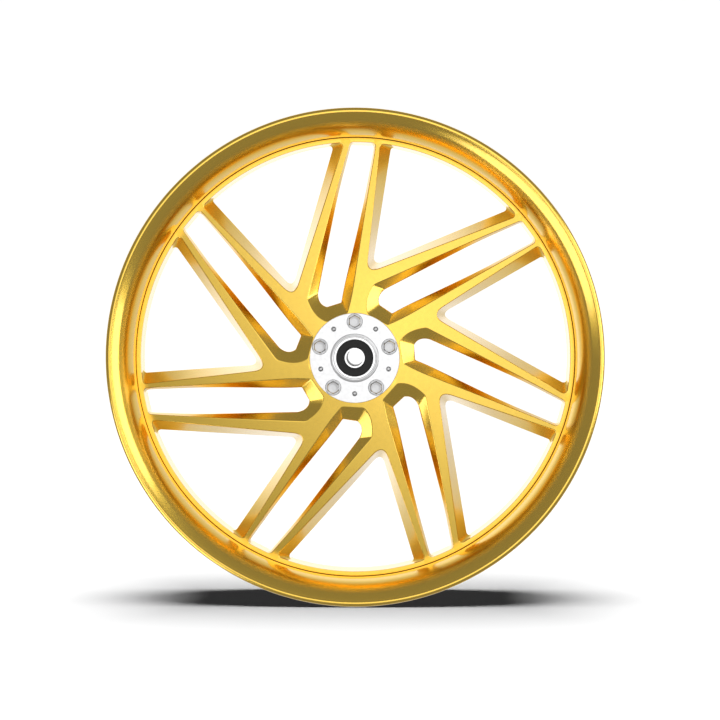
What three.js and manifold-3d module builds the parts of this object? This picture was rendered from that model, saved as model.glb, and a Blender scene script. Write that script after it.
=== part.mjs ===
// Forged 21 x 3.5 inch motorcycle front wheel: seven forked arms, bolted hub halves and
// two sealed ball bearings on an axle sleeve. Millimetres, +Z up. The axle runs along Y
// through the origin, and the show face looks along -Y.
import * as THREE from 'three';
import { mergeVertices } from 'three/addons/utils/BufferGeometryUtils.js';
import Module from 'manifold-3d';

const wasm = await Module();
wasm.setup();

// ---- Driving dimensions -----------------------------------------------------------
const GAP = 0.3; // clearance kept between pieces that touch
const RIM_SEGMENTS = 56;
const HUB_SEGMENTS = 30;
const BEARING_SEGMENTS = 24;
const BOLT_SEGMENTS = 12;
const HOLE_SEGMENTS = 8;
const WALL_STEPS = 3; // straight stretches of a window's long walls
const CORNER_STEPS = 4; // straight stretches round a window's corner

const RIM = {
  width: 114,
  outerRadius: 284,
  crestRadius: 279.5,
  beadRadius: 266.7,
  flangeThickness: 12.5,
  beadLedge: 20,
  wellRadius: 260,
  barrelRadius: 255.8,
  // The bell mouth from the crest to the barrel, as [radius, half width].
  mouth: [
    [278, 57], [277.4, 56.2], [272, 52.4], [268.5, 49.2],
    [263.5, 42.8], [260, 35.9], [257.8, 29.8], [256.3, 22],
  ],
};
const CENTRE = {
  hubFace: 50, // half thickness where the hub flange sits
  hubFaceRadius: 52,
  ringFace: 15, // half thickness at the outer ring
  ringInnerRadius: 250.2,
  boreRadius: 30.3,
};
const ARMS = 7;
const PATTERN_X = 0.5; // centre of the window pattern from the axle
const PATTERN_Z = -3.4;
const CUTTER_REACH = 70; // half length of the window cutters along the axle
const CUTTER_RADIUS = 266; // the window cutters end here, past the ring
const RING_LAP = 2; // the arms end this far inside the ring's outside

// Outlines of the windows with their arm straight up, as [x, z] about the pattern's
// centre: on the face, and at the opening edge deeper inside.
// Slot: left top, left waist, corner, bend, heel, toe, knee, right waist, right top.
const SLOT_FACE = [
  [-5.2, 258], [-22.2, 197], [-55.3, 71], [-47.5, 51], [-32.4, 44.1],
  [-9.1, 53.9], [-4.3, 70.6], [11.7, 177], [24.7, 258],
];
const SLOT_OPENING = [
  [-3.5, 258], [-19.5, 197], [-42.8, 78], [-42.6, 65.5], [-32.5, 61.6],
  [-16.2, 66.8], [-13.7, 82], [8.2, 177], [22.6, 258],
];
const SLOT_DEPTH = { low: 44, high: 258, atLow: 40, atHigh: 5 }; // of the opening edge, by z
// Window: left top, the three points of the rounded notch, and the right top as seen
// with the next arm straight up.
const WINDOW_FACE = {
  left: [29, 258],
  notch: [[14.3, 116.8], [12.5, 99.9], [28.4, 105.9]],
  right: [-11.7, 258],
};
const WINDOW_OPENING = {
  left: [42.9, 258],
  notch: [[22, 123.8], [20, 111], [32, 116]],
  right: [-24.2, 258],
};
const WINDOW_DEPTH = 1; // the large windows' walls meet almost at the middle plane

const HUB = {
  face: 60, // half width over the two hub faces
  flangeRadius: 51.1,
  pilotRadius: 27.5, // raised pilot ring round the bearing
  pilotHeight: 1,
  mouthRadius: 25,
  spigotRadius: 30,
  innerBoreRadius: 19,
  end: 2, // distance of each spigot end from the middle plane
};
const BOLT = {
  count: 5,
  circleRadius: 41.275, // 3.25 inch bolt circle
  acrossFlats: 12,
  headHeight: 7,
  flangeRadius: 8.7,
  flangeHeight: 1.8,
  shankRadius: 4,
  length: 32,
  holeRadius: 4.4,
  holeSpare: 3, // depth of the hole past the bolt's end
  pocketRadius: 9.3,
  pocketDepth: 1.2,
};
const DOWEL_HOLE = { radius: 2.6, depth: 7, circleRadius: 40.4 };
const BEARING = {
  width: 14,
  recess: 1.5, // outer face below the hub face
  boreRadius: 9.525, // 3/4 inch axle
  outerRadius: 23.5,
  pitchRadius: 16.6,
  ballRadius: 3.97,
  balls: 8,
  grooveShare: 0.72, // half width of the ball groove over the ball radius
  cageClearance: 1.2, // from the cage to the shoulders of both races
  cageTop: 2, // the cage's pockets reach this far past the balls' centres
  innerShoulder: 13.6,
  outerShoulder: 19.6,
  innerFaceRadius: 11.4,
  sealInnerRadius: 11.7,
  sealOuterRadius: 20.8,
  sealThickness: 1.3,
};
const SLEEVE_RADIUS = 12.5;
const VALVE_HOLE = { radius: 4.2, angle: 0.47, cutLength: 40 }; // angle from straight up

// ---- Materials --------------------------------------------------------------------
const gold = () => new THREE.MeshStandardMaterial({ color: 0xe8bf4f, roughness: 0.25, metalness: 1 });
const silver = () => new THREE.MeshStandardMaterial({ color: 0xe9e9ea, roughness: 0.3, metalness: 1 });
const steel = () => new THREE.MeshStandardMaterial({ color: 0xc4c6c9, roughness: 0.2, metalness: 1 });
const brass = () => new THREE.MeshStandardMaterial({ color: 0xb58b45, roughness: 0.4, metalness: 1 });
const rubber = () => new THREE.MeshStandardMaterial({ color: 0x2a2a2a, roughness: 0.7, metalness: 0 });

// ---- Solid helpers ----------------------------------------------------------------
function solidOf(geometry) {
  const plain = geometry.clone();
  plain.deleteAttribute('normal');
  plain.deleteAttribute('uv');
  const merged = mergeVertices(plain, 1e-4);
  const mesh = new wasm.Mesh({
    numProp: 3,
    vertProperties: Float32Array.from(merged.attributes.position.array),
    triVerts: Uint32Array.from(merged.index.array),
  });
  return new wasm.Manifold(mesh);
}

function meshOf(name, solid, material) {
  const data = solid.getMesh();
  const geometry = new THREE.BufferGeometry();
  geometry.setAttribute('position', new THREE.BufferAttribute(data.vertProperties, 3));
  geometry.setIndex(new THREE.BufferAttribute(data.triVerts, 1));
  geometry.computeVertexNormals();
  const mesh = new THREE.Mesh(geometry, material);
  mesh.name = name;
  return mesh;
}

// A ring turned about the axle from a closed profile of [radius, y] points that runs
// from low y to high y along its outside.
function turned(profile, segments) {
  const points = profile.map(([radius, y]) => new THREE.Vector2(radius, y));
  points.push(points[0].clone());
  return solidOf(new THREE.LatheGeometry(points, segments));
}

function washerSolid(inner, outer, from, to, segments) {
  return turned([[outer, from], [outer, to], [inner, to], [inner, from]], segments);
}

// A cylinder along Y between two y values, standing at (x, z).
function pin(radius, from, to, x = 0, z = 0, sides = BOLT_SEGMENTS) {
  const geometry = new THREE.CylinderGeometry(radius, radius, to - from, sides);
  geometry.translate(x, (from + to) / 2, z);
  return solidOf(geometry);
}

// A solid through several sections, each a list of [x, y, z] points in the same order,
// closed by a triangulated cap at both ends.
function loft(sections) {
  const count = sections[0].length;
  const index = [];
  for (let s = 0; s + 1 < sections.length; s += 1) {
    for (let i = 0; i < count; i += 1) {
      const a = s * count + i;
      const b = s * count + ((i + 1) % count);
      index.push(a, a + count, b, b, a + count, b + count);
    }
  }
  const flat = (section) => section.map(([x, , z]) => new THREE.Vector2(x, z));
  const last = (sections.length - 1) * count;
  for (const [a, b, c] of THREE.ShapeUtils.triangulateShape(flat(sections[0]), [])) {
    index.push(a, b, c);
  }
  for (const [a, b, c] of THREE.ShapeUtils.triangulateShape(flat(sections.at(-1)), [])) {
    index.push(last + a, last + c, last + b);
  }
  const geometry = new THREE.BufferGeometry();
  geometry.setAttribute('position', new THREE.Float32BufferAttribute(sections.flat(2), 3));
  geometry.setIndex(index);
  return solidOf(geometry);
}

// Mirror a solid to the other side of the wheel.
const mirrored = (solid) => solid.mirror([0, 1, 0]);

// ---- Window pattern ---------------------------------------------------------------
// Every window wall runs from an edge on the cone-shaped face to an opening edge deeper
// inside. A pair holds both points, in the plane of the wheel with the arm straight up,
// and the half depth at which the opening edge lies.
function faceHalfDepth(x, z) {
  const slope = (CENTRE.hubFace - CENTRE.ringFace) / (CENTRE.ringInnerRadius - CENTRE.hubFaceRadius);
  return CENTRE.hubFace - slope * (Math.hypot(x, z) - CENTRE.hubFaceRadius);
}

function bezier(start, control, end, steps) {
  const curve = new THREE.QuadraticBezierCurve(
    new THREE.Vector2(...start), new THREE.Vector2(...control), new THREE.Vector2(...end));
  return curve.getPoints(steps).map((point) => [point.x, point.y]);
}

// Points from start towards end, without the end itself.
function straight([ax, az], [bx, bz]) {
  const at = (i) => [ax + (bx - ax) * i / WALL_STEPS, az + (bz - az) * i / WALL_STEPS];
  return Array.from({ length: WALL_STEPS }, (_, i) => at(i));
}

// The long slot inside a forked arm, open towards the ring.
function slotPairs() {
  const outline = ([leftTop, leftWaist, corner, bend, heel, toe, knee, rightWaist, rightTop]) => [
    leftTop, ...straight(leftWaist, corner), ...bezier(corner, bend, heel, CORNER_STEPS),
    toe, ...straight(knee, rightWaist), rightWaist, rightTop,
  ];
  const { low, high, atLow, atHigh } = SLOT_DEPTH;
  const opening = outline(SLOT_OPENING);
  return outline(SLOT_FACE).map((point, i) => ({
    face: point,
    opening: opening[i],
    depth: THREE.MathUtils.mapLinear(point[1], low, high, atLow, atHigh),
  }));
}

// The large window between two neighbouring arms; its notch has a rounded bottom.
function windowPairs() {
  const origin = new THREE.Vector2();
  const fromNextArm = (x, z) => new THREE.Vector2(x, z).rotateAround(origin, -2 * Math.PI / ARMS).toArray();
  const outward = ([ax, az], [bx, bz]) => (
    new THREE.Vector2(ax + bx, az + bz).setLength(CUTTER_RADIUS).toArray());
  const outline = ({ left, notch, right }) => {
    const end = fromNextArm(...right);
    return [
      ...straight(left, notch[0]), ...bezier(...notch, CORNER_STEPS), ...straight(notch[2], end).slice(1),
      end, outward(left, end),
    ];
  };
  const opening = outline(WINDOW_OPENING);
  return outline(WINDOW_FACE).map((point, i) => (
    { face: point, opening: opening[i], depth: WINDOW_DEPTH }));
}

// A cutter with four sections: the sloped walls are carried on past both faces.
function cutterOf(pairs) {
  const opening = (side) => pairs.map((pair) => [pair.opening[0], side * pair.depth, pair.opening[1]]);
  const beyond = (side) => pairs.map((pair) => {
    const grow = (CUTTER_REACH - pair.depth) / (faceHalfDepth(...pair.face) - pair.depth);
    const [x, z] = pair.opening.map((value, axis) => value + (pair.face[axis] - value) * grow);
    return [x, side * CUTTER_REACH, z];
  });
  return loft([beyond(-1), opening(-1), opening(1), beyond(1)]);
}

// ---- Wheel body -------------------------------------------------------------------
function valveHole() {
  const geometry = new THREE.CylinderGeometry(
    VALVE_HOLE.radius, VALVE_HOLE.radius, VALVE_HOLE.cutLength, BOLT_SEGMENTS);
  geometry.rotateX(Math.PI / 2);
  geometry.translate(0, 0, RIM.barrelRadius);
  geometry.rotateY(VALVE_HOLE.angle);
  return solidOf(geometry);
}

function rimHoop() {
  const half = RIM.width / 2;
  const ledge = half - RIM.flangeThickness;
  const halfProfile = [
    [RIM.wellRadius, ledge - RIM.beadLedge - 8],
    [RIM.beadRadius - 1.6, ledge - RIM.beadLedge],
    [RIM.beadRadius, ledge - 2],
    [RIM.beadRadius + 3, ledge],
    [RIM.outerRadius - 2, half - 9],
    [RIM.outerRadius, half - 5],
    [RIM.outerRadius - 0.8, half - 1.8],
    [RIM.crestRadius + 1, half],
    ...RIM.mouth,
    [RIM.barrelRadius, CENTRE.ringFace],
  ];
  const farSide = halfProfile.map(([radius, y]) => [radius, -y]).reverse();
  return turned([...farSide, ...halfProfile], RIM_SEGMENTS).subtract(valveHole());
}

function spokeCentre() {
  const { hubFace, hubFaceRadius, ringFace, ringInnerRadius, boreRadius } = CENTRE;
  const ringOuter = RIM.barrelRadius - GAP;
  let body = turned([
    [boreRadius, -hubFace], [hubFaceRadius, -hubFace], [ringOuter - RING_LAP, -ringFace],
    [ringOuter - RING_LAP, ringFace], [hubFaceRadius, hubFace], [boreRadius, hubFace],
  ], RIM_SEGMENTS);
  const cutters = [cutterOf(slotPairs()), cutterOf(windowPairs())];
  for (let arm = 0; arm < ARMS; arm += 1) {
    for (const cutter of cutters) {
      body = body.subtract(cutter.rotate([0, arm * 360 / ARMS, 0]).translate([PATTERN_X, 0, PATTERN_Z]));
    }
  }
  body = body.add(washerSolid(ringInnerRadius, ringOuter, -ringFace, ringFace, RIM_SEGMENTS));
  for (const place of aroundBoltCircle(BOLT.circleRadius, 90)) {
    const bottom = HUB.face - BOLT.length - BOLT.holeSpare;
    const hole = pin(BOLT.holeRadius, bottom, HUB.face, ...place, HOLE_SEGMENTS);
    body = body.subtract(hole).subtract(mirrored(hole));
  }
  return body.subtract(valveHole());
}

// Five [x, z] places on a circle, the first at the given angle in degrees.
function aroundBoltCircle(radius, firstAngle) {
  return Array.from({ length: BOLT.count }, (_, i) => {
    const angle = THREE.MathUtils.degToRad(firstAngle + i * 360 / BOLT.count);
    return [radius * Math.cos(angle), radius * Math.sin(angle)];
  });
}

// ---- Hub --------------------------------------------------------------------------
const seatFloor = HUB.face - BEARING.recess - BEARING.width - GAP;

function hubHalf() {
  const seatRadius = BEARING.outerRadius + GAP;
  const underside = CENTRE.hubFace + GAP;
  const pilotTop = HUB.face + HUB.pilotHeight;
  let body = turned([
    [HUB.spigotRadius, HUB.end], [HUB.spigotRadius, underside],
    [HUB.flangeRadius, underside], [HUB.flangeRadius, HUB.face - 0.8],
    [HUB.flangeRadius - 0.8, HUB.face], [HUB.pilotRadius, HUB.face],
    [HUB.pilotRadius, pilotTop], [HUB.mouthRadius, pilotTop],
    [seatRadius, HUB.face - 0.2], [seatRadius, seatFloor],
    [HUB.innerBoreRadius, seatFloor], [HUB.innerBoreRadius, HUB.end],
  ], HUB_SEGMENTS);
  for (const place of aroundBoltCircle(BOLT.circleRadius, 90)) {
    body = body.subtract(pin(BOLT.holeRadius, CENTRE.hubFace - 1, HUB.face, ...place, HOLE_SEGMENTS));
    body = body.subtract(pin(BOLT.pocketRadius, HUB.face - BOLT.pocketDepth, HUB.face + 1, ...place));
  }
  for (const place of aroundBoltCircle(DOWEL_HOLE.circleRadius, 54)) {
    const bottom = HUB.face - DOWEL_HOLE.depth;
    body = body.subtract(pin(DOWEL_HOLE.radius, bottom, HUB.face + 1, ...place, HOLE_SEGMENTS));
  }
  return body;
}

const boltSeat = HUB.face - BOLT.pocketDepth + GAP;

function hubBolt(place) {
  const hexRadius = BOLT.acrossFlats / Math.sqrt(3);
  const flangeTop = boltSeat + BOLT.flangeHeight;
  const head = new THREE.CylinderGeometry(hexRadius, hexRadius, BOLT.headHeight, 6);
  head.translate(place[0], boltSeat + BOLT.headHeight / 2, place[1]);
  return pin(BOLT.flangeRadius, boltSeat, flangeTop, ...place)
    .add(solidOf(head))
    .add(pin(BOLT.shankRadius, boltSeat - BOLT.length, flangeTop, ...place, HOLE_SEGMENTS));
}

// ---- Bearings ---------------------------------------------------------------------
const bearingOuter = HUB.face - BEARING.recess;
const bearingInner = bearingOuter - BEARING.width;
const ballPlane = (bearingOuter + bearingInner) / 2;

function groovedRace(faceRadius, edgeRadius, shoulder, groove) {
  const seal = BEARING.sealThickness + 2 * GAP;
  const halfGroove = BEARING.ballRadius * BEARING.grooveShare;
  const midDepth = (shoulder + 2 * groove) / 3;
  const side = (from, sign) => [
    [faceRadius, from],
    [edgeRadius, from],
    [edgeRadius, from - sign * seal],
    [shoulder, from - sign * seal],
    [shoulder, ballPlane + sign * halfGroove],
    [midDepth, ballPlane + sign * halfGroove / 2],
  ];
  return [...side(bearingInner, -1), [groove, ballPlane], ...side(bearingOuter, 1).reverse()];
}

function outerRace() {
  const groove = BEARING.pitchRadius + BEARING.ballRadius;
  const sealSeat = BEARING.sealOuterRadius + GAP;
  const profile = groovedRace(BEARING.outerRadius, sealSeat, BEARING.outerShoulder, groove);
  return turned(profile.reverse(), BEARING_SEGMENTS);
}

function innerRace() {
  const groove = BEARING.pitchRadius - BEARING.ballRadius;
  const profile = groovedRace(BEARING.boreRadius, BEARING.innerFaceRadius, BEARING.innerShoulder, groove);
  return turned(profile, BEARING_SEGMENTS);
}

function seal(outside) {
  const start = outside ? bearingOuter - GAP - BEARING.sealThickness : bearingInner + GAP;
  const end = start + BEARING.sealThickness;
  return washerSolid(BEARING.sealInnerRadius, BEARING.sealOuterRadius, start, end, BEARING_SEGMENTS);
}

function ball(i) {
  const geometry = new THREE.IcosahedronGeometry(BEARING.ballRadius - GAP, 1);
  geometry.translate(BEARING.pitchRadius, ballPlane, 0);
  geometry.rotateY((i * 2 * Math.PI) / BEARING.balls);
  return solidOf(geometry);
}

function cagePocket(i) {
  const radius = BEARING.ballRadius + GAP;
  const geometry = new THREE.CylinderGeometry(radius, radius, 2 * radius, 10);
  geometry.rotateZ(Math.PI / 2);
  geometry.translate(BEARING.pitchRadius, ballPlane, 0);
  geometry.rotateY((i * 2 * Math.PI) / BEARING.balls);
  return solidOf(geometry);
}

// A crown cage: a ring on the inner side of the balls with a pocket for each of them.
function cage() {
  const { innerShoulder, outerShoulder, cageClearance, cageTop, width, sealThickness } = BEARING;
  const base = ballPlane - width / 2 + sealThickness + 2 * GAP + 0.1;
  let body = washerSolid(
    innerShoulder + cageClearance, outerShoulder - cageClearance,
    base, ballPlane + cageTop, BEARING_SEGMENTS);
  for (let i = 0; i < BEARING.balls; i += 1) {
    body = body.subtract(cagePocket(i));
  }
  return body;
}

function axleSleeve() {
  const end = bearingInner - GAP;
  return washerSolid(BEARING.boreRadius, SLEEVE_RADIUS, -end, end, BEARING_SEGMENTS);
}

// ---- Assembly ---------------------------------------------------------------------
const wheel = new THREE.Group();
wheel.add(meshOf('rim_hoop', rimHoop(), gold()));
wheel.add(meshOf('spoke_centre', spokeCentre(), gold()));
wheel.add(meshOf('axle_sleeve', axleSleeve(), steel()));

for (const side of ['front', 'rear']) {
  const placed = (solid) => (side === 'front' ? mirrored(solid) : solid);
  const add = (name, solid, material) => wheel.add(meshOf(`${side}_${name}`, placed(solid), material));
  add('hub_half', hubHalf(), silver());
  aroundBoltCircle(BOLT.circleRadius, 90).forEach((place, i) => {
    add(`hub_bolt_${i + 1}`, hubBolt(place), steel());
  });
  add('bearing_outer_race', outerRace(), steel());
  add('bearing_inner_race', innerRace(), steel());
  add('bearing_cage', cage(), brass());
  add('bearing_outside_seal', seal(true), rubber());
  add('bearing_inside_seal', seal(false), rubber());
  for (let i = 0; i < BEARING.balls; i += 1) {
    add(`bearing_ball_${i + 1}`, ball(i), steel());
  }
}

export default wheel;
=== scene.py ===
"""Forged motorcycle front wheel: smooth meshes, finishes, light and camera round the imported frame.

Shapes are worked out in millimetres in the frame's axes: the axle runs along Y, the show face
looks along -Y and Z is up. Each piece is gathered in a Surface and turned into a mesh in metres.
"""

import math

import bpy
import numpy as np
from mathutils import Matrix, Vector
from mathutils.geometry import delaunay_2d_cdt


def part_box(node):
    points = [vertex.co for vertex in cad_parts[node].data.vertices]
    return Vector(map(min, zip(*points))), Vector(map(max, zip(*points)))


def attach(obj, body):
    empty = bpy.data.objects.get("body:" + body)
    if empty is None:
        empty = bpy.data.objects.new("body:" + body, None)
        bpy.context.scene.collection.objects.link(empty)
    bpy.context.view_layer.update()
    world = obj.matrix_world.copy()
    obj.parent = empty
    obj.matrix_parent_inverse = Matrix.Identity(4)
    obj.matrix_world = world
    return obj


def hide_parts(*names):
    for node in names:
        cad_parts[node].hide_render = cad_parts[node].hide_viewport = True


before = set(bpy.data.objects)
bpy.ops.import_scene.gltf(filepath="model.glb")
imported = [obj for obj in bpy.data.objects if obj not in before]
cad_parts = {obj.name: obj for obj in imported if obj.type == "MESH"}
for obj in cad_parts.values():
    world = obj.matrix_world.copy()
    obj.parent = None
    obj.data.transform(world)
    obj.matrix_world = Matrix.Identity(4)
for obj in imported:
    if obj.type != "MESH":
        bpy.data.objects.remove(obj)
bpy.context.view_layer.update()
MM = 0.001


def reach(node, axis):
    """How far a CAD node reaches from the origin along an axis, in millimetres."""
    low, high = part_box(node)
    return max(abs(low[axis]), abs(high[axis])) / MM


# ---- Driving dimensions, in millimetres ------------------------------------------------------
RIM_RADIUS = reach("rim_hoop", 2)
RIM_HALF = reach("rim_hoop", 1)
HUB_TOP = reach("rear_hub_half", 1)  # top of the raised pilot ring
PILOT_HEIGHT = 1.0
HUB_FACE = HUB_TOP - PILOT_HEIGHT
HUB_RADIUS = reach("rear_hub_half", 2)
BEARING_FACE = reach("rear_bearing_outer_race", 1)
BOLT_TOP = reach("rear_hub_bolt_1", 1)

FLANGE_THICKNESS = 12.5
BEAD_RADIUS = 266.7
WELL_RADIUS = 260.0
BARREL_RADIUS = 255.8

CENTRE_FACE = 50.0  # half thickness of the spoke centre under the hub flange
CENTRE_FLAT_RADIUS = 52.0
RING_FACE = 15.0  # half thickness at the outer ring
RING_INNER = 250.2
RING_OUTER = 255.6
CENTRE_BORE = 30.3
ARMS = 7
PATTERN = np.array([0.5, -3.4])  # centre of the window pattern, in x and z
WINDOW_END = 258.0  # the window walls' corners end here, past the ring
RING_FILLET = 4.5  # plan radius where an arm meets the ring
EDGE = 0.9  # width of the rounding along a window's face edge
INNER_EDGE = 1.0  # the same along its opening edge

HUB_BORE = 19.0  # between the two bearings
HUB_END = 2.0  # distance of the spigot's end from the middle plane

BOLT_CIRCLE = 41.275
BOLT_SHANK = 4.0
BOLT_LENGTH = 25.0  # under the washer
BOLT_WASHER = 7.9
WASHER_THICKNESS = 1.2
ACROSS_FLATS = 12.0
CHAMFER_RADIUS = 5.75  # where the head's chamfer starts
BOLT_HOLE = 4.4
BOLT_HOLE_END = 25.0  # bottom of a bolt hole, from the middle plane
POCKET_RADIUS = 8.6
POCKET_DEPTH = 1.2
DOWEL_CIRCLE = 40.4
DOWEL_RADIUS = 2.6
DOWEL_DEPTH = 7.0
DOWEL_POINT = 2.0  # depth of the drill point below that

BEARING_WIDTH = 14.0
BEARING_RADIUS = 23.5
AXLE_RADIUS = 9.525
OUTER_RACE = {"edge": 21.1, "shoulder": 19.6}
INNER_RACE = {"edge": 11.4, "shoulder": 13.6}
BALL_CIRCLE = 16.6
BALL_RADIUS = 3.97
GROOVE_HALF = 2.9  # half width of the ball groove
SEAL_THICKNESS = 1.3
SLEEVE_RADIUS = 12.5
GAP = 0.3  # between pieces that touch

ROUND_STEPS = 288  # around the big turned pieces
HUB_STEPS = 144
BOLT_STEPS = 96
SMALL_STEPS = 48
WALL_STEPS = 30  # along a window's long walls
SPOT_ROOM = 2.6  # kept between a face's edges and its inner points
CREASE = math.radians(28)  # sharper edges of crisp pieces aren't smoothed over


# ---- Surfaces --------------------------------------------------------------------------------
class Surface:
    """Points and faces of one piece in millimetres, facing outwards."""

    def __init__(self):
        self.points = []
        self.faces = []

    def loop(self, points):
        start = len(self.points)
        self.points.extend(tuple(float(v) for v in point) for point in points)
        return list(range(start, len(self.points)))

    def bridge(self, first, second):
        """Quads between two closed loops with the same number of points."""
        count = len(first)
        for i in range(count):
            j = (i + 1) % count
            self.faces.append((first[i], first[j], second[j], second[i]))

    def sweep(self, loops):
        for first, second in zip(loops, loops[1:]):
            self.bridge(first, second)

    def lathe(self, profile):
        """Turns a closed profile of (radius, y) about the axle, with the material on its left."""
        loops = [self.loop(circle(radius, y, HUB_STEPS)) for radius, y in profile]
        self.sweep([*loops, loops[0]])

    def cap(self, loop, flip=False, drop=0.0):
        """Closes a loop with a fan about its middle, which may lie deeper in by a drop along Y."""
        middle = np.mean([self.points[i] for i in loop], axis=0)
        (centre,) = self.loop([middle - (0, drop, 0)])
        count = len(loop)
        for i in range(count):
            a, b = loop[i], loop[(i + 1) % count]
            self.faces.append((b, a, centre) if flip else (a, b, centre))

    def plate(self, loops, height, spots, towards):
        """Triangles over the plan area between loops, with points at spots, at y = height(x, z)."""
        index = [i for loop in loops for i in loop]
        plan = [(self.points[i][0], self.points[i][2]) for i in index]
        edges = []
        start = 0
        for loop in loops:
            count = len(loop)
            edges += [(start + i, start + (i + 1) % count) for i in range(count)]
            start += count
        spots = clear_spots(spots, plan, edges)
        index += self.loop([(x, height(x, z), z) for x, z in spots])
        plan += [tuple(spot) for spot in spots]
        result = delaunay_2d_cdt([Vector(point) for point in plan], edges, [], 0, 1e-6)
        corners = np.array([tuple(v) for v in result[0]])
        triangles = np.array(result[2])
        source = [origins[0] for origins in result[3]]
        inside = covered(corners[triangles].mean(axis=1), np.array(plan), edges)
        for a, b, c in triangles[inside]:
            pa, pb, pc = corners[a], corners[b], corners[c]
            turn = (pb[0] - pa[0]) * (pc[1] - pa[1]) - (pb[1] - pa[1]) * (pc[0] - pa[0])
            face = (index[source[a]], index[source[b]], index[source[c]])
            self.faces.append(face if (turn > 0) == (towards < 0) else face[::-1])

    def add_mirrored(self):
        """Adds the other half of a piece that stands against the middle plane."""
        twin = {}
        for i, (x, y, z) in enumerate(list(self.points)):
            twin[i] = i if abs(y) < 1e-6 else self.loop([(x, -y, z)])[0]
        self.faces += [tuple(twin[i] for i in reversed(face)) for face in self.faces]

    def turned_round(self):
        """The same surface on the other side of the wheel."""
        other = Surface()
        other.points = [(x, -y, z) for x, y, z in self.points]
        other.faces = [tuple(reversed(face)) for face in self.faces]
        return other


def circle(radius, y, steps, centre=(0.0, 0.0)):
    angles = np.arange(steps) * 2 * math.pi / steps
    return [(centre[0] + radius * math.cos(a), y, centre[1] + radius * math.sin(a)) for a in angles]


def covered(spots, plan, edges):
    """Which spots lie in the area that the edges bound, by counting the edges crossed on the way out."""
    ends = plan[np.array(edges)]
    x1, z1, x2, z2 = ends[:, 0, 0], ends[:, 0, 1], ends[:, 1, 0], ends[:, 1, 1]
    inside = np.zeros(len(spots), bool)
    for i, (x, z) in enumerate(spots):
        level = (z1 > z) != (z2 > z)
        crossing = x1[level] + (z - z1[level]) * (x2[level] - x1[level]) / (z2[level] - z1[level])
        inside[i] = np.count_nonzero(crossing > x) % 2 == 1
    return inside


def clear_spots(spots, plan, edges):
    """The spots in the bounded area that keep some room from its edges."""
    if not spots:
        return []
    plan = np.array(plan)
    spots = np.array(spots)
    spots = spots[covered(spots, plan, edges)]
    distance = np.array([np.hypot(*(plan - spot).T).min() for spot in spots])
    return spots[distance > SPOT_ROOM]


def polar_spots(radii, spacing):
    """Points on circles about the axle, about as far apart as the spacing."""
    spots = []
    for row, radius in enumerate(radii):
        count = max(8, int(round(2 * math.pi * radius / spacing)))
        for i in range(count):
            angle = 2 * math.pi * (i + 0.5 * (row % 2)) / count
            spots.append((radius * math.cos(angle), radius * math.sin(angle)))
    return spots


def area_normals(points, faces):
    """Vertex normals weighted by face area, so that wide faces stay flat up to their rounded edges."""
    points = np.array(points)
    normals = np.zeros_like(points)
    for size in (3, 4):
        corners = np.array([face for face in faces if len(face) == size], int).reshape(-1, size)
        p = points[corners]
        if size == 4:
            area = np.cross(p[:, 2] - p[:, 0], p[:, 3] - p[:, 1])
        else:
            area = np.cross(p[:, 1] - p[:, 0], p[:, 2] - p[:, 0])
        for k in range(size):
            np.add.at(normals, corners[:, k], area)
    return normals / np.maximum(np.linalg.norm(normals, axis=1, keepdims=True), 1e-12)


def piece(name, surface, material, body, nodes, normal_of=None, crisp=False):
    """The object of a surface, riding on a body in place of CAD nodes. A crisp one keeps its edges."""
    mesh = bpy.data.meshes.new(name)
    mesh.from_pydata([tuple(v * MM for v in point) for point in surface.points], [], surface.faces)
    mesh.polygons.foreach_set("use_smooth", [True] * len(mesh.polygons))
    if crisp:
        mesh.set_sharp_from_angle(angle=CREASE)
    else:
        normals = area_normals(surface.points, surface.faces)
        for i, point in enumerate(surface.points):
            known = normal_of(*point) if normal_of else None
            if known is not None:
                normals[i] = known
        mesh.normals_split_custom_set_from_vertices(normals.tolist())
    mesh.materials.append(material)
    made = bpy.data.objects.new(name, mesh)
    bpy.context.scene.collection.objects.link(made)
    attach(made, body)
    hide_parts(*nodes)
    made.visible_diffuse = False  # the floor round the wheel stays neutral


# ---- Rounded outlines ------------------------------------------------------------------------
def bend(start, control, end, steps):
    """Points of a quadratic curve, both ends included."""
    start, control, end = (np.asarray(p, float) for p in (start, control, end))
    return [(1 - t) ** 2 * start + 2 * t * (1 - t) * control + t * t * end
            for t in np.linspace(0, 1, steps + 1)]


def softened(profile, trims, steps=3):
    """A closed profile with each corner rounded over its trim length."""
    profile = [np.asarray(p, float) for p in profile]
    points = []
    for i, corner in enumerate(profile):
        trim = trims[i] if isinstance(trims, (list, tuple)) else trims
        if not trim:
            points.append(corner)
            continue
        before = profile[i - 1] - corner
        after = profile[(i + 1) % len(profile)] - corner
        start = corner + before * min(0.45, trim / np.linalg.norm(before))
        end = corner + after * min(0.45, trim / np.linalg.norm(after))
        points += bend(start, corner, end, steps)
    return points


# ---- Finishes --------------------------------------------------------------------------------
COAT_IOR = 1.48
COAT_ROUGHNESS = 0.12


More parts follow.
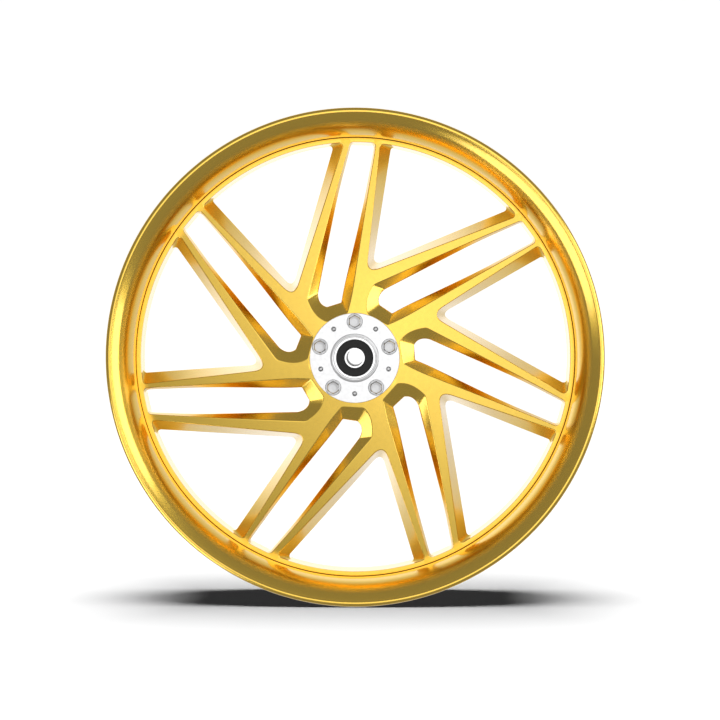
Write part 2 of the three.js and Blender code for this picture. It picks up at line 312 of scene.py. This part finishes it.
def finish(name, color, tint, metallic, roughness, spread, grain, bump, coat=0.0):
    """A procedural finish. The grain stretches a noise over object space, in waves per metre on each
    axis; it moves the roughness by the spread, the colour towards the tint and the surface by the
    bump in metres."""
    material = bpy.data.materials.new(name)
    material.use_nodes = True
    nodes, links = material.node_tree.nodes, material.node_tree.links
    shader = nodes["Principled BSDF"]
    shader.inputs["Base Color"].default_value = (*color, 1)
    shader.inputs["Metallic"].default_value = metallic
    shader.inputs["Roughness"].default_value = roughness
    shader.inputs["Coat Weight"].default_value = coat
    shader.inputs["Coat IOR"].default_value = COAT_IOR
    shader.inputs["Coat Roughness"].default_value = COAT_ROUGHNESS
    place = nodes.new("ShaderNodeTexCoord")
    stretch = nodes.new("ShaderNodeMapping")
    stretch.inputs["Scale"].default_value = grain
    noise = nodes.new("ShaderNodeTexNoise")
    noise.inputs["Scale"].default_value = 1.0
    noise.inputs["Detail"].default_value = 4.0
    links.new(place.outputs["Object"], stretch.inputs["Vector"])
    links.new(stretch.outputs["Vector"], noise.inputs["Vector"])
    level = nodes.new("ShaderNodeMapRange")
    level.inputs["From Min"].default_value = 0.3
    level.inputs["From Max"].default_value = 0.7
    level.inputs["To Min"].default_value = roughness - spread
    level.inputs["To Max"].default_value = roughness + spread
    links.new(noise.outputs["Fac"], level.inputs["Value"])
    links.new(level.outputs["Result"], shader.inputs["Roughness"])
    ramp = nodes.new("ShaderNodeValToRGB")
    ramp.color_ramp.elements[0].position = 0.35
    ramp.color_ramp.elements[0].color = (*color, 1)
    ramp.color_ramp.elements[1].position = 0.65
    ramp.color_ramp.elements[1].color = (*tint, 1)
    links.new(noise.outputs["Fac"], ramp.inputs["Fac"])
    links.new(ramp.outputs["Color"], shader.inputs["Base Color"])
    relief = nodes.new("ShaderNodeBump")
    relief.inputs["Strength"].default_value = 1.0
    relief.inputs["Distance"].default_value = bump
    links.new(noise.outputs["Fac"], relief.inputs["Height"])
    links.new(relief.outputs["Normal"], shader.inputs["Normal"])
    return material


GOLD = finish("gold_anodised", (0.97, 0.64, 0.082), (0.95, 0.62, 0.078), 1.0, 0.24, 0.02,
              (220, 220, 220), 0.000002, coat=1.0)
SILVER = finish("hub_machined_silver", (0.8, 0.8, 0.803), (0.77, 0.77, 0.773), 1.0, 0.34, 0.04,
                (300, 300, 300), 0.000002)
STEEL = finish("bolt_zinc_steel", (0.56, 0.56, 0.565), (0.52, 0.52, 0.525), 1.0, 0.3, 0.04,
               (900, 900, 900), 0.000002)
GROUND = finish("bearing_ground_steel", (0.9, 0.9, 0.9), (0.87, 0.87, 0.88), 1.0, 0.2, 0.03,
                (500, 3000, 500), 0.000001)
BRASS = finish("cage_pressed_brass", (0.7, 0.5, 0.22), (0.62, 0.44, 0.2), 1.0, 0.35, 0.05,
               (900, 900, 900), 0.000004)
SLEEVE = finish("sleeve_dull_steel", (0.5, 0.5, 0.5), (0.46, 0.46, 0.46), 1.0, 0.5, 0.05,
                (600, 600, 600), 0.000004)
RUBBER = finish("seal_black_rubber", (0.004, 0.004, 0.004), (0.007, 0.007, 0.007), 0.0, 0.6, 0.08,
                (1500, 1500, 1500), 0.00002)


# ---- Spoke centre ----------------------------------------------------------------------------
CONE_TILT = math.atan((CENTRE_FACE - RING_FACE) / (RING_INNER - CENTRE_FLAT_RADIUS))
RING_TILT = CONE_TILT / 2


def face_depth(x, z):
    """Half thickness of the spoke centre: flat at the hub, a cone over the arms, gentler on the ring."""
    radius = math.hypot(x, z)
    if radius > RING_INNER:
        return RING_FACE - math.tan(RING_TILT) * (radius - RING_INNER)
    return min(CENTRE_FACE, CENTRE_FACE - math.tan(CONE_TILT) * (radius - CENTRE_FLAT_RADIUS))


def clockwise(point, turns):
    """A place in plan turned clockwise about the axle by a number of arms."""
    angle = turns * 2 * math.pi / ARMS
    x, z = point
    return np.array([x * math.cos(angle) + z * math.sin(angle),
                     z * math.cos(angle) - x * math.sin(angle)])


# A window is an open outline of corners, from the ring down one wall, round its inner end and up
# the other wall. Each corner has its place on the face and at the opening edge deeper inside, and then
# the trims of its rounding, before and after, on the face and at the opening edge. All are in plan
# with the arm straight up. The half depth of the opening edge comes with them, as a function of z.
def slot_outline():
    corners = [
        ((-5.2, WINDOW_END), (-3.5, WINDOW_END), (0, 0), (0, 0)),
        ((-22.2, 197), (-19.5, 197), (25, 25), (25, 25)),
        ((-55.3, 71), (-42.8, 78), (2.5, 2.5), (1.2, 1.2)),
        ((-47.5, 51), (-42.6, 65.5), (18, 13), (11, 9)),
        ((-32.4, 44.1), (-32.5, 61.6), (2, 2), (1, 1)),
        ((-9.1, 53.9), (-16.2, 66.8), (2, 2), (1, 1)),
        ((-4.3, 70.6), (-13.7, 82), (14, 14), (12, 12)),
        ((11.7, 177), (8.2, 177), (30, 30), (30, 30)),
        ((24.7, WINDOW_END), (22.6, WINDOW_END), (0, 0), (0, 0)),
    ]
    deep, shallow, heel = 40, 5, 44
    return corners, lambda z: deep + (shallow - deep) * (z - heel) / (WINDOW_END - heel)


def window_outline():
    next_face = clockwise((-11.7, WINDOW_END), 1)
    next_opening = clockwise((-24.2, WINDOW_END), 1)
    corners = [
        ((29, WINDOW_END), (42.9, WINDOW_END), (0, 0), (0, 0)),
        ((12.5, 99.9), (20, 111), (17, 17), (13, 13)),
        (tuple(next_face), tuple(next_opening), (0, 0), (0, 0)),
    ]
    return corners, lambda z: 1.0


def ring_fillet(end, inner, side):
    """Where a straight wall is rounded into the ring's inner circle: points from the wall to the ring."""
    inward = (inner - end) / np.linalg.norm(inner - end)
    open_side = side * np.array([-inward[1], inward[0]])
    start = end + open_side * RING_FILLET
    half_chord_squared = (start @ inward) ** 2 - start @ start + (RING_INNER - RING_FILLET) ** 2
    along = -start @ inward - math.sqrt(half_chord_squared)
    centre = start + inward * along
    first = math.atan2(-open_side[1], -open_side[0])
    last = math.atan2(centre[1], centre[0])
    sweep = (last - first + math.pi) % (2 * math.pi) - math.pi
    angles = first + sweep * np.linspace(0, 1, 9)
    return [centre + RING_FILLET * np.array([math.cos(a), math.sin(a)]) for a in angles]


def window_loop(corners, arm, t):
    """A window's closed outline about the axle, t of the way from its face edge to its opening edge."""
    places = [clockwise((1 - t) * np.array(face) + t * np.array(opening), arm) + PATTERN
              for face, opening, _, _ in corners]
    trims = [(1 - t) * np.array(face) + t * np.array(opening) for _, _, face, opening in corners]
    left = ring_fillet(places[0], places[1], 1)
    right = ring_fillet(places[-1], places[-2], -1)
    bottom = []
    for before, corner, after, (trim_in, trim_out) in zip(places, places[1:], places[2:], trims[1:]):
        start = corner + (before - corner) * trim_in / np.linalg.norm(before - corner)
        end = corner + (after - corner) * trim_out / np.linalg.norm(after - corner)
        bottom.append(bend(start, corner, end, 10 if trim_in > 8 else 5))
    points = left[::-1] + along_line(left[0], bottom[0][0], WALL_STEPS)
    for this, following in zip(bottom, bottom[1:]):
        points += this + along_line(this[-1], following[0], 4)
    points += bottom[-1] + along_line(bottom[-1][-1], right[0], WALL_STEPS) + right
    first = math.atan2(right[-1][1], right[-1][0])
    last = math.atan2(left[-1][1], left[-1][0])
    sweep = (last - first) % (2 * math.pi)
    arc = first + sweep * np.linspace(0, 1, 9 if len(corners) > 3 else 25)[1:-1]
    return points + [RING_INNER * np.array([math.cos(a), math.sin(a)]) for a in arc]


def along_line(start, end, steps):
    """Points between two ends, without the ends."""
    return [start + (end - start) * i / steps for i in range(1, steps)]


def window_walls(surface, corners, opening_depth, arm):
    """Adds a window's walls, from its rounded face edge to the middle plane; returns its face loop."""
    face = window_loop(corners, arm, 0)
    opening = window_loop(corners, arm, 1)
    count = len(face)
    own = [clockwise(point - PATTERN, -arm) for point in face]
    face_y = np.array([face_depth(*point) for point in face])
    deep_y = np.array([opening_depth(min(WINDOW_END, point[1])) for point in own])
    length = np.hypot(np.linalg.norm(np.array(opening) - np.array(face), axis=1), face_y - deep_y)

    def row(depths):
        """One loop, with each point the given distance down its wall."""
        share = np.asarray(depths) / length
        return [np.array([*((1 - s) * face[i] + s * opening[i]), (1 - s) * face_y[i] + s * deep_y[i]])
                for i, s in enumerate(share)]

    outward = []
    for i in range(count):
        along = face[(i + 1) % count] - face[i - 1]
        outward.append(np.array([along[1], -along[0]]) / np.linalg.norm(along))
    on_face = [face[i] + outward[i] * EDGE for i in range(count)]
    lip = [np.array([*point, face_depth(*point)]) for point in on_face]
    rows = curve_rows(lip, row(np.zeros(count)), row(np.full(count, EDGE)), 4)
    for share in np.linspace(0, 1, 9)[1:-1]:
        rows.append(row(EDGE + share * (length - EDGE - INNER_EDGE)))
    straight = [np.array([*opening[i], max(0.0, deep_y[i] - INNER_EDGE)]) for i in range(count)]
    rows += curve_rows(row(length - INNER_EDGE), row(length), straight, 3)
    if deep_y.min() > INNER_EDGE:
        rows.append([np.array([*point, 0.0]) for point in opening])
    loops = [surface.loop([(x, -y, z) for x, z, y in points]) for points in rows]
    surface.sweep(loops)
    return loops[0]


def curve_rows(first, corner, last, steps):
    """Rows along the rounding between two rows, which leans on the row at the sharp corner."""
    columns = [bend(a, b, c, steps) for a, b, c in zip(first, corner, last)]
    return [list(row) for row in zip(*columns)]


def spoke_surface():
    """The spoke centre: both faces, the windows' walls, the ring's outside, the bore and the holes."""
    surface = Surface()
    loops = []
    for arm in range(ARMS):
        for corners, opening_depth in (slot_outline(), window_outline()):
            loops.append(window_walls(surface, corners, opening_depth, arm))
    rounding = 0.7
    edge = face_depth(RING_OUTER - rounding, 0)
    rim_side = [surface.loop(circle(r, -y, ROUND_STEPS)) for r, y in bend(
        (RING_OUTER - rounding, edge), (RING_OUTER, edge), (RING_OUTER, edge - rounding), 3)]
    rim_side.append(surface.loop(circle(RING_OUTER, 0, ROUND_STEPS)))
    surface.sweep(rim_side[::-1])
    bore_side = [surface.loop(circle(r, -y, HUB_STEPS)) for r, y in (
        (CENTRE_BORE + 0.5, CENTRE_FACE), (CENTRE_BORE, CENTRE_FACE - 0.5), (CENTRE_BORE, 0))]
    surface.sweep(bore_side)
    holes = [bolt_hole(surface, place) for place in around(BOLT_CIRCLE, 90)]
    spots = polar_spots([*np.arange(36, 50, 5), 52, 54, *np.arange(60, 248, 6.5), 249, 252.9], 6.5)
    edges = [rim_side[0], bore_side[0], *loops, *holes]
    surface.plate(edges, lambda x, z: -face_depth(x, z), spots, -1)
    surface.add_mirrored()
    return surface


def bolt_hole(surface, place):
    """A blind hole into the spoke centre's -Y side; returns its loop on the face."""
    chamfer = 0.4
    loops = [surface.loop(circle(r, -y, SMALL_STEPS, place)) for r, y in (
        (BOLT_HOLE + chamfer, CENTRE_FACE), (BOLT_HOLE, CENTRE_FACE - chamfer),
        (BOLT_HOLE, BOLT_HOLE_END))]
    surface.sweep(loops)
    surface.cap(loops[-1])
    return loops[0]


def around(radius, first_angle):
    """Five places on a circle about the axle."""
    angles = [math.radians(first_angle + i * 72) for i in range(5)]
    return [(radius * math.cos(a), radius * math.sin(a)) for a in angles]


def spoke_face_normal(x, y, z):
    """The exact normal of a point on the flat or cone-shaped face, or None elsewhere."""
    if abs(abs(y) - face_depth(x, z)) > 1e-4:
        return None
    radius = math.hypot(x, z)
    side = 1 if y > 0 else -1
    if radius < CENTRE_FLAT_RADIUS:
        return (0, side, 0)
    tilt = RING_TILT if radius > RING_INNER + 0.2 else CONE_TILT
    lean = math.sin(tilt) / radius
    return (x * lean, side * math.cos(tilt), z * lean)


piece("spoke_star", spoke_surface(), GOLD, "wheel", ["spoke_centre"], spoke_face_normal)


# ---- Rim hoop --------------------------------------------------------------------------------
def rim_outside():
    """Half of the rim's outside as (radius, y): drop well, bead seat and flange, up to its crest."""
    half, outer = RIM_HALF, RIM_RADIUS
    ledge = half - FLANGE_THICKNESS
    corners = [
        (WELL_RADIUS, -5), (WELL_RADIUS, ledge - 28), (265.1, ledge - 20), (BEAD_RADIUS, ledge - 2),
        (BEAD_RADIUS + 3, ledge), (outer - 2, half - 9), (outer, half - 5), (outer - 0.8, half - 1.8),
        (outer - 3.6, half), (278.2, half), (277.5, half - 0.9),
    ]
    return softened(corners, [0, 5, 4, 2, 2, 3, 3, 2.4, 2.4, 0.4, 0], 5)[1:-1]


def rim_mouth():
    """The bell mouth as (radius, y), from the crest to the straight barrel."""
    half = RIM_HALF
    return [(277.5, half - 0.9), (275.2, half - 2.4), (272, half - 4.8), (268.5, half - 7.9),
            (263.5, half - 14), (260, half - 20.4), (257.8, half - 27), (256.3, half - 35),
            (BARREL_RADIUS, half - 43)]


def smooth_through(points, steps):
    """A Catmull-Rom curve through points."""
    points = [np.asarray(p, float) for p in points]
    padded = [2 * points[0] - points[1], *points, 2 * points[-1] - points[-2]]
    curve = []
    for p0, p1, p2, p3 in zip(padded, padded[1:], padded[2:], padded[3:]):
        for t in np.arange(steps) / steps:
            curve.append(0.5 * (2 * p1 + (p2 - p0) * t + (2 * p0 - 5 * p1 + 4 * p2 - p3) * t * t
                                + (3 * p1 - p0 - 3 * p2 + p3) * t ** 3))
    return [*curve, points[-1]]


def rim_surface():
    """The rim hoop, from the middle of the well round the flange to the middle of the barrel."""
    surface = Surface()
    profile = [(WELL_RADIUS, 0), *rim_outside(), *smooth_through(rim_mouth(), 6), (BARREL_RADIUS, 0)]
    loops = [surface.loop(circle(r, y, ROUND_STEPS)) for r, y in profile]
    surface.sweep(loops)
    surface.add_mirrored()
    return surface


piece("rim", rim_surface(), GOLD, "wheel", ["rim_hoop"])


# ---- Hub halves, bolts and bearings ----------------------------------------------------------
def hub_profile():
    """Section of the rear hub half: pilot ring, bearing seat, bore, spigot and flange."""
    seat_radius = BEARING_RADIUS + GAP
    seat_floor = BEARING_FACE - BEARING_WIDTH - GAP
    spigot_radius = CENTRE_BORE - GAP
    return softened([
        (27.6, HUB_FACE), (27.2, HUB_FACE + 0.35), (25.2, HUB_TOP), (24.9, HUB_TOP - 1.4),
        (seat_radius, HUB_TOP - 1.4), (seat_radius, seat_floor), (HUB_BORE, seat_floor),
        (HUB_BORE, HUB_END), (spigot_radius, HUB_END), (spigot_radius, CENTRE_FACE + GAP),
        (HUB_RADIUS, CENTRE_FACE + GAP), (HUB_RADIUS, HUB_FACE - 0.6), (HUB_RADIUS - 0.6, HUB_FACE),
    ], [0, 0.1, 0.3, 0.3, 0.1, 0.3, 0.5, 0.5, 0.8, 0.4, 0.4, 0.3, 0], 3)


def hub_half():
    """The rear hub half, with sunk bolt seats and drilled dowel holes."""
    surface = Surface()
    profile = hub_profile()
    flange_under = CENTRE_FACE + GAP
    split = max(i for i, (r, y) in enumerate(profile) if abs(y - flange_under) < 1e-6 and r < 35)
    inner = [surface.loop(circle(r, y, HUB_STEPS)) for r, y in profile[:split + 1]]
    outer = [surface.loop(circle(r, y, HUB_STEPS)) for r, y in profile[split + 1:]]
    surface.sweep(inner[::-1])
    surface.sweep(outer[::-1])
    top_holes, under_holes = [], []
    for place in around(BOLT_CIRCLE, 90):
        floor = HUB_FACE - POCKET_DEPTH
        loops = [surface.loop(circle(r, y, SMALL_STEPS, place)) for r, y in (
            (POCKET_RADIUS + 0.5, HUB_FACE), (POCKET_RADIUS, HUB_FACE - 0.5),
            (POCKET_RADIUS, floor + 0.2), (POCKET_RADIUS - 0.2, floor), (BOLT_HOLE + 0.3, floor),
            (BOLT_HOLE, floor - 0.3), (BOLT_HOLE, flange_under))]
        surface.sweep(loops[::-1])
        top_holes.append(loops[0])
        under_holes.append(loops[-1])
    for place in around(DOWEL_CIRCLE, 54):
        loops = [surface.loop(circle(r, y, SMALL_STEPS, place)) for r, y in (
            (DOWEL_RADIUS + 0.35, HUB_FACE), (DOWEL_RADIUS, HUB_FACE - 0.35),
            (DOWEL_RADIUS, HUB_FACE - DOWEL_DEPTH))]
        surface.sweep(loops[::-1])
        surface.cap(loops[-1], flip=True, drop=DOWEL_POINT)
        top_holes.append(loops[0])
    spots = polar_spots(np.arange(29.5, 51, 2.6), 2.6)
    surface.plate([outer[-1], inner[0], *top_holes], lambda x, z: HUB_FACE, spots, 1)
    surface.plate([outer[0], inner[-1], *under_holes], lambda x, z: flange_under, [], -1)
    return surface


def hexagon(angle):
    """Radius of a hexagon with a corner straight up, at an angle."""
    part = (angle - math.pi / 2) % (math.pi / 3) - math.pi / 6
    return ACROSS_FLATS / 2 / math.cos(part)


def bolt_surface(place):
    """A hexagon flange bolt with a chamfered head, a dished top and a plain shank."""
    angles = np.arange(BOLT_STEPS) * 2 * math.pi / BOLT_STEPS
    seat = HUB_FACE - POCKET_DEPTH + GAP
    washer_top = seat + WASHER_THICKNESS
    dish = 0.12
    surface = Surface()

    def ring(radius_of, height_of):
        points = []
        for a in angles:
            radius = radius_of(a)
            x, z = place[0] + radius * math.cos(a), place[1] + radius * math.sin(a)
            points.append((x, height_of(a), z))
        return surface.loop(points)

    def level(radius, y):
        return ring(lambda a: radius, lambda a: y)

    def corner_drop(a):
        """How far the chamfer has fallen where it meets the hexagon's side."""
        return max(0.0, hexagon(a) - CHAMFER_RADIUS) * math.tan(math.radians(30))

    loops = [
        level(BOLT_SHANK - 0.6, seat - BOLT_LENGTH), level(BOLT_SHANK, seat - BOLT_LENGTH + 0.6),
        level(BOLT_SHANK, seat), level(BOLT_WASHER - 0.2, seat), level(BOLT_WASHER, seat + 0.2),
        level(BOLT_WASHER, washer_top - 0.25), level(BOLT_WASHER - 0.25, washer_top),
        ring(lambda a: hexagon(a) + 0.55, lambda a: washer_top),
        ring(lambda a: hexagon(a) + 0.05, lambda a: washer_top + 0.8),
        ring(hexagon, lambda a: washer_top + 1.0),
        ring(hexagon, lambda a: BOLT_TOP - 0.4 - corner_drop(a)),
        ring(lambda a: min(hexagon(a) - 0.45, CHAMFER_RADIUS), lambda a: BOLT_TOP),
        level(4.9, BOLT_TOP), level(4.6, BOLT_TOP - dish), level(2.0, BOLT_TOP - dish),
    ]
    surface.sweep(loops[::-1])
    surface.cap(loops[-1], flip=True)
    surface.cap(loops[0])
    return surface


def lathed(profile, trims):
    """A ring of revolution whose profile runs outwards along its far side."""
    surface = Surface()
    surface.lathe(softened(profile, trims)[::-1])
    return surface


def race_profile(face, edge, shoulder, groove):
    """Section of a bearing race, from its low-y end, with a round groove for the balls."""
    low, high = BEARING_FACE - BEARING_WIDTH, BEARING_FACE
    seal = SEAL_THICKNESS + 2 * GAP
    middle = BEARING_FACE - BEARING_WIDTH / 2
    arc = [(shoulder + (groove - shoulder) * math.cos(a), middle + GROOVE_HALF * math.sin(a))
           for a in np.linspace(-math.pi / 2, math.pi / 2, 9)]
    return [(face, low), (edge, low), (edge, low + seal), (shoulder, low + seal), *arc,
            (shoulder, high - seal), (edge, high - seal), (edge, high), (face, high)]


def bearing_pieces():
    """The turned pieces of the rear bearing by name, with their finish, slot and body."""
    low = BEARING_FACE - BEARING_WIDTH
    outer = race_profile(BEARING_RADIUS, **OUTER_RACE, groove=BALL_CIRCLE + BALL_RADIUS)
    inner = race_profile(AXLE_RADIUS, **INNER_RACE, groove=BALL_CIRCLE - BALL_RADIUS)
    rim, well = SEAL_THICKNESS, SEAL_THICKNESS - 0.25  # thickness at the seal's edges and between
    seal = [(11.7, 0), (20.8, 0), (20.8, rim), (19.9, rim), (19.7, well), (13.4, well), (13.2, rim),
            (12.0, rim), (11.7, rim - 0.4)]
    outside = [(r, BEARING_FACE - GAP - SEAL_THICKNESS + y) for r, y in seal]
    inside = [(r, low + GAP + SEAL_THICKNESS - y) for r, y in reversed(seal)]
    return {
        "bearing_outer_race": (lathed(outer[::-1], 0.35), GROUND, "bearing_steel", "wheel"),
        "bearing_inner_race": (lathed(inner, 0.35), GROUND, "bearing_steel", "axle_set"),
        "bearing_outside_seal": (lathed(outside, 0.15), RUBBER, "seal_rubber", "wheel"),
        "bearing_inside_seal": (lathed(inside, 0.15), RUBBER, "seal_rubber", "wheel"),
    }


def sleeve_surface():
    """The axle sleeve, a plain tube between the two inner races."""
    end = reach("axle_sleeve", 1)
    return lathed([(AXLE_RADIUS, -end), (SLEEVE_RADIUS, -end), (SLEEVE_RADIUS, end),
                   (AXLE_RADIUS, end)], 0.4)


def on_side(surface, side):
    """A surface of the rear side, moved to the side it's for."""
    return surface.turned_round() if side == "front" else surface


hub = hub_half()
for side in ("front", "rear"):
    piece(f"{side}_hub", on_side(hub, side), SILVER, "wheel", [f"{side}_hub_half"],
          crisp=True)
    for number, place in enumerate(around(BOLT_CIRCLE, 90), 1):
        piece(f"{side}_bolt_{number}", on_side(bolt_surface(place), side), STEEL, "wheel",
              [f"{side}_hub_bolt_{number}"], crisp=True)
    for name, (surface, material, slot_name, body) in bearing_pieces().items():
        piece(f"{side}_{name}_smooth", on_side(surface, side), material, body, [f"{side}_{name}"],
              crisp=True)

piece("axle_sleeve_tube", sleeve_surface(), SLEEVE, "axle_set", ["axle_sleeve"])

# ---- Carried-over CAD nodes ------------------------------------------------------------------
for name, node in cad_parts.items():
    if "bearing_ball" in name or "bearing_cage" in name:
        node.data.materials.clear()
        node.data.materials.append(GROUND if "ball" in name else BRASS)


# ---- Floor, backdrop, light and camera -------------------------------------------------------
FLOOR_RADIUS = 2.2  # in metres, like the dome's
DOME_RADIUS = 9.0
DISC_STEPS = 64
DOME_STEPS = 32


def plain(name, level, roughness, glow=0.0):
    """A plain grey or white material, which may give off light of its own."""
    material = bpy.data.materials.new(name)
    material.use_nodes = True
    shader = material.node_tree.nodes["Principled BSDF"]
    shader.inputs["Base Color"].default_value = (level, level, level, 1)
    shader.inputs["Roughness"].default_value = roughness
    shader.inputs["Specular IOR Level"].default_value = 0
    if glow:
        shader.inputs["Emission Color"].default_value = (level, level, level, 1)
        shader.inputs["Emission Strength"].default_value = glow
        material.cycles.emission_sampling = "NONE"
    return material


def staged(name, points, faces, material):
    """A piece of the studio rather than of the wheel."""
    mesh = bpy.data.meshes.new(name)
    mesh.from_pydata(points, [], faces)
    mesh.materials.append(material)
    made = bpy.data.objects.new(name, mesh)
    bpy.context.scene.collection.objects.link(made)
    return made


def disc(name, radius, height, material):
    """A flat round piece of the studio, facing up."""
    points = [(radius * math.cos(a), radius * math.sin(a), height)
              for a in np.arange(DISC_STEPS) * 2 * math.pi / DISC_STEPS]
    return staged(name, points, [tuple(range(DISC_STEPS))], material)


floor = disc("floor", FLOOR_RADIUS, -RIM_RADIUS * MM, plain("floor_white", 0.95, 0.7))
floor.visible_glossy = False

dome_surface = Surface()
dome_loops = [dome_surface.loop(circle(DOME_RADIUS * math.cos(e), DOME_RADIUS * math.sin(e), DOME_STEPS))
              for e in np.radians(np.arange(-80, 81, 10))]
dome_surface.sweep(dome_loops)
dome_surface.cap(dome_loops[0], flip=True)
dome_surface.cap(dome_loops[-1])
dome = staged("backdrop", dome_surface.points, dome_surface.faces,
              plain("backdrop_white", 1.0, 1.0, glow=1.0))
dome.visible_glossy = False
dome.visible_diffuse = False
dome.visible_shadow = False
dome.visible_transmission = False

FRONT_LEVEL = 0.27  # radiance of the studio in front of the wheel
BACK_LEVEL = 0.75  # and behind it


def studio_world():
    """Even light that shows in reflections only, brighter behind the wheel than in front of it."""
    world = bpy.data.worlds.new("studio")
    world.use_nodes = True
    world.cycles.sampling_method = "NONE"
    nodes, links = world.node_tree.nodes, world.node_tree.links
    background = nodes["Background"]
    background.inputs["Color"].default_value = (1, 1, 1, 1)
    heading = nodes.new("ShaderNodeTexCoord")
    axes = nodes.new("ShaderNodeSeparateXYZ")
    behind = nodes.new("ShaderNodeMapRange")
    behind.inputs["From Min"].default_value = 0.05
    behind.inputs["From Max"].default_value = 0.6
    behind.inputs["To Min"].default_value = FRONT_LEVEL
    behind.inputs["To Max"].default_value = BACK_LEVEL
    ray = nodes.new("ShaderNodeLightPath")
    reflected = nodes.new("ShaderNodeMath")
    reflected.operation = "MULTIPLY"
    links.new(heading.outputs["Generated"], axes.inputs["Vector"])
    links.new(axes.outputs["Y"], behind.inputs["Value"])
    links.new(behind.outputs["Result"], reflected.inputs[0])
    links.new(ray.outputs["Is Glossy Ray"], reflected.inputs[1])
    links.new(reflected.outputs["Value"], background.inputs["Strength"])
    return world


def softbox(name, place, width, height, radiance):
    """A rectangular light with the given radiance that faces the origin and leaves the floor alone."""
    data = bpy.data.lights.new(name, "AREA")
    data.shape = "RECTANGLE"
    data.size, data.size_y = width, height
    data.energy = radiance * math.pi * width * height
    light = bpy.data.objects.new(name, data)
    light.location = place
    light.rotation_euler = (-Vector(place)).to_track_quat("-Z", "Y").to_euler()
    light.visible_camera = False
    light.visible_diffuse = False
    bpy.context.scene.collection.objects.link(light)


def glow_card(name, place, radius, middle, edge):
    """A round glowing card that faces the origin, brightest in its middle."""
    material = bpy.data.materials.new(name)
    material.use_nodes = True
    nodes, links = material.node_tree.nodes, material.node_tree.links
    nodes.remove(nodes["Principled BSDF"])
    card_place = nodes.new("ShaderNodeTexCoord")
    shrink = nodes.new("ShaderNodeMapping")
    shrink.inputs["Scale"].default_value = (1 / radius, 1 / radius, 1 / radius)
    distance = nodes.new("ShaderNodeVectorMath")
    distance.operation = "DOT_PRODUCT"
    level = nodes.new("ShaderNodeMapRange")
    level.inputs["To Min"].default_value = middle
    level.inputs["To Max"].default_value = edge
    emission = nodes.new("ShaderNodeEmission")
    links.new(card_place.outputs["Object"], shrink.inputs["Vector"])
    links.new(shrink.outputs["Vector"], distance.inputs[0])
    links.new(shrink.outputs["Vector"], distance.inputs[1])
    links.new(distance.outputs["Value"], level.inputs["Value"])
    links.new(level.outputs["Result"], emission.inputs["Strength"])
    links.new(emission.outputs["Emission"], nodes["Material Output"].inputs["Surface"])
    material.cycles.emission_sampling = "NONE"
    card = disc(name, radius, 0, material)
    card.location = place
    card.rotation_euler = (-Vector(place)).to_track_quat("Z", "Y").to_euler()
    card.visible_camera = False
    card.visible_diffuse = False
    card.visible_shadow = False


def sky_light(name, strength, spread):
    """A broad light straight from above that shows in no reflection, for the floor and its shadow."""
    data = bpy.data.lights.new(name, "SUN")
    data.energy = strength
    data.angle = math.radians(spread)
    light = bpy.data.objects.new(name, data)
    light.visible_glossy = False
    bpy.context.scene.collection.objects.link(light)


def direction(angle, lean, distance):
    """A place at an angle round the wheel, leaning that many degrees from its plane to the front."""
    a, b = math.radians(angle), math.radians(lean)
    return (distance * math.cos(a) * math.cos(b), -distance * math.sin(b),
            distance * math.sin(a) * math.cos(b))


bpy.context.scene.world = studio_world()
glow_card("front_key", (0.36, -4.0, 0.4), 3.3, 1.6, FRONT_LEVEL)
glow_card("back_glow", (-0.6, 3.2, 0.5), 3.0, 1.25, BACK_LEVEL)
softbox("right_panel", direction(8, 28, 2.3), 1.0, 1.7, 2.6)
softbox("left_panel", direction(218, 28, 2.3), 1.0, 1.9, 2.6)
sky_light("floor_light", 3.8, 40)

# The camera stands a little right of the axle and above it, 1.5 m in front of the lip.
CAMERA = Vector((0.020, -1.557, 0.025))
AIM = Vector((0.0060, -0.057, -0.0023))
camera_data = bpy.data.cameras.new("camera")
camera_data.sensor_width = 36
camera_data.lens = 66.2
camera = bpy.data.objects.new("camera", camera_data)
camera.location = CAMERA
camera.rotation_euler = (AIM - CAMERA).to_track_quat("-Z", "Y").to_euler()
bpy.context.scene.collection.objects.link(camera)
bpy.context.scene.camera = camera
bpy.context.scene.view_settings.view_transform = "Standard"
